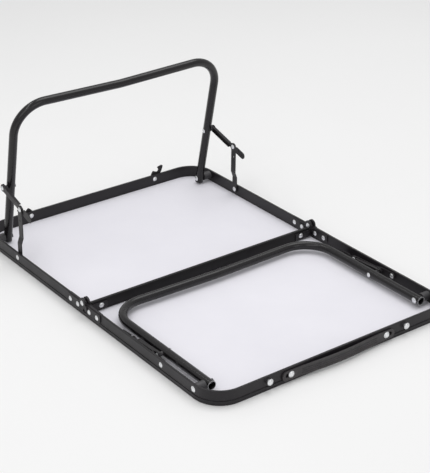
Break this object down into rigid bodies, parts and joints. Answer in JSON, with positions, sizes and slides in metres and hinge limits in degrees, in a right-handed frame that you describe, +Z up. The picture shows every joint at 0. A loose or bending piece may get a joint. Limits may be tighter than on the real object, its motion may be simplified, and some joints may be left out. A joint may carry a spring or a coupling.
{
  "type": "folding table",
  "caption": "Suitcase-style folding table lying upside down on its top, one tube leg raised on braces, the other folded flat, with latches and a carry handle",
  "frame": {"origin": "centre of the footprint, on the floor that the rims rest on; the hinge line is 2.2 mm toward +Y from it", "axes": "+X along the hinge line, +Y from the leaf with the folded leg to the leaf with the raised leg, +Z up, away from the table's top face"},
  "size_m": [0.614, 0.9058, 0.3612],
  "materials": {
    "rim_metal": "dark satin coated edge section",
    "panel_board": "pale satin laminate on thin board",
    "plate_metal": "dark satin coated pressed plate",
    "brace_metal": "dark satin coated strip",
    "leg_tube": "dark semi-gloss coated round tube",
    "zinc_rivet": "bright zinc-plated domed rivet",
    "bush_plastic": "dark moulded bush",
    "handle_plastic": "dark ribbed moulded strap"
  },
  "bodies": {
    "leaf_a": {"rim_a": "rim_metal", "panel_a": "panel_board", "hinge_plate_outer_a_left": "plate_metal", "hinge_plate_outer_a_right": "plate_metal", "hinge_plate_inner_a_left": "plate_metal", "hinge_plate_inner_a_right": "plate_metal", "hinge_rivets_a": "zinc_rivet", "leg_pivot_rivets_a": "zinc_rivet", "leg_spacer_a_left": "bush_plastic", "leg_spacer_a_right": "bush_plastic", "brace_foot_rivets_a": "zinc_rivet", "centre_bar": "rim_metal", "bar_bracket_left": "plate_metal", "bar_bracket_right": "plate_metal", "bar_rivets": "zinc_rivet", "latch_rivets": "zinc_rivet"},
    "leg_a": {"leg_frame_a": "leg_tube", "brace_bush_a_left": "bush_plastic", "brace_bush_a_right": "bush_plastic", "leg_brace_rivets_a": "zinc_rivet"},
    "brace_lower_a_left": {"lower_brace_a_left": "brace_metal", "knee_rivet_outer_a_left": "zinc_rivet"},
    "brace_upper_a_left": {"upper_brace_a_left": "brace_metal", "knee_rivet_inner_a_left": "zinc_rivet"},
    "brace_lower_a_right": {"lower_brace_a_right": "brace_metal", "knee_rivet_outer_a_right": "zinc_rivet"},
    "brace_upper_a_right": {"upper_brace_a_right": "brace_metal", "knee_rivet_inner_a_right": "zinc_rivet"},
    "leaf_b": {"rim_b": "rim_metal", "panel_b": "panel_board", "hinge_plate_outer_b_left": "plate_metal", "hinge_plate_outer_b_right": "plate_metal", "hinge_plate_inner_b_left": "plate_metal", "hinge_plate_inner_b_right": "plate_metal", "hinge_rivets_b": "zinc_rivet", "leg_pivot_rivets_b": "zinc_rivet", "leg_spacer_b_left": "bush_plastic", "leg_spacer_b_right": "bush_plastic", "brace_foot_rivets_b": "zinc_rivet", "hinge_pins": "zinc_rivet", "catch_studs": "zinc_rivet", "handle_studs": "zinc_rivet"},
    "leg_b": {"leg_frame_b": "leg_tube", "brace_bush_b_left": "bush_plastic", "brace_bush_b_right": "bush_plastic", "leg_brace_rivets_b": "zinc_rivet"},
    "brace_lower_b_left": {"lower_brace_b_left": "brace_metal", "knee_rivet_outer_b_left": "zinc_rivet"},
    "brace_upper_b_left": {"upper_brace_b_left": "brace_metal", "knee_rivet_inner_b_left": "zinc_rivet"},
    "brace_lower_b_right": {"lower_brace_b_right": "brace_metal", "knee_rivet_outer_b_right": "zinc_rivet"},
    "brace_upper_b_right": {"upper_brace_b_right": "brace_metal", "knee_rivet_inner_b_right": "zinc_rivet"},
    "latch_left_hook": {"latch_left": "plate_metal"},
    "latch_right_hook": {"latch_right": "plate_metal"},
    "carry_handle": {"handle_strap": "handle_plastic"}
  },
  "joints": [
    {"name": "leaf_fold", "type": "hinge", "parent": "leaf_b", "child": "leaf_a", "pos_m": [0, 0.00245, 0.0314], "axis": [1, 0, 0], "range_deg": [0, 130]},
    {"name": "leg_a_fold", "type": "hinge", "parent": "leaf_a", "child": "leg_a", "pos_m": [0, 0.38545, 0.02], "axis": [1, 0, 0], "range_deg": [-13.5, 76.5]},
    {"name": "brace_lower_a_left_swing", "type": "hinge", "parent": "leaf_a", "child": "brace_lower_a_left", "pos_m": [-0.2923, 0.27945, 0.02], "axis": [1, 0, 0], "range_deg": [-15.59, 88.33]},
    {"name": "brace_upper_a_left_swing", "type": "hinge", "parent": "leg_a", "child": "brace_upper_a_left", "pos_m": [-0.2849, 0.353, 0.15516], "axis": [1, 0, 0], "range_deg": [-92.62, 16.35]},
    {"name": "brace_lower_a_right_swing", "type": "hinge", "parent": "leaf_a", "child": "brace_lower_a_right", "pos_m": [0.2923, 0.27945, 0.02], "axis": [1, 0, 0], "range_deg": [-15.59, 88.33]},
    {"name": "brace_upper_a_right_swing", "type": "hinge", "parent": "leg_a", "child": "brace_upper_a_right", "pos_m": [0.2849, 0.353, 0.15516], "axis": [1, 0, 0], "range_deg": [-92.62, 16.35]},
    {"name": "leg_b_fold", "type": "hinge", "parent": "leaf_b", "child": "leg_b", "pos_m": [0, -0.38055, 0.02], "axis": [-1, 0, 0], "range_deg": [-90, 0]},
    {"name": "brace_lower_b_left_swing", "type": "hinge", "parent": "leaf_b", "child": "brace_lower_b_left", "pos_m": [-0.2923, -0.27455, 0.02], "axis": [-1, 0, 0], "range_deg": [-106.61, 0]},
    {"name": "brace_upper_b_left_swing", "type": "hinge", "parent": "leg_b", "child": "brace_upper_b_left", "pos_m": [-0.2849, -0.24155, 0.02], "axis": [-1, 0, 0], "range_deg": [0, 105.09]},
    {"name": "brace_lower_b_right_swing", "type": "hinge", "parent": "leaf_b", "child": "brace_lower_b_right", "pos_m": [0.2923, -0.27455, 0.02], "axis": [-1, 0, 0], "range_deg": [-106.61, 0]},
    {"name": "brace_upper_b_right_swing", "type": "hinge", "parent": "leg_b", "child": "brace_upper_b_right", "pos_m": [0.2849, -0.24155, 0.02], "axis": [-1, 0, 0], "range_deg": [0, 105.09]},
    {"name": "latch_left_turn", "type": "hinge", "parent": "leaf_a", "child": "latch_left_hook", "pos_m": [-0.172, 0.449, 0.0205], "axis": [0, 1, 0], "range_deg": [-38, 52]},
    {"name": "latch_right_turn", "type": "hinge", "parent": "leaf_a", "child": "latch_right_hook", "pos_m": [0.172, 0.449, 0.0205], "axis": [0, -1, 0], "range_deg": [-52, 38]},
    {"name": "handle_play", "type": "slide", "parent": "leaf_b", "child": "carry_handle", "axis": [1, 0, 0], "range_m": [-0.003, 0.003]}
  ],
  "couplings": [
    {"joint": "brace_lower_a_left_swing", "follows": "leg_a_fold", "ratio": 1.1546},
    {"joint": "brace_upper_a_left_swing", "follows": "leg_a_fold", "ratio": -1.2107},
    {"joint": "brace_lower_a_right_swing", "follows": "leg_a_fold", "ratio": 1.1546},
    {"joint": "brace_upper_a_right_swing", "follows": "leg_a_fold", "ratio": -1.2107},
    {"joint": "brace_lower_b_left_swing", "follows": "leg_b_fold", "ratio": 1.1845},
    {"joint": "brace_upper_b_left_swing", "follows": "leg_b_fold", "ratio": -1.1676},
    {"joint": "brace_lower_b_right_swing", "follows": "leg_b_fold", "ratio": 1.1845},
    {"joint": "brace_upper_b_right_swing", "follows": "leg_b_fold", "ratio": -1.1676}
  ]
}
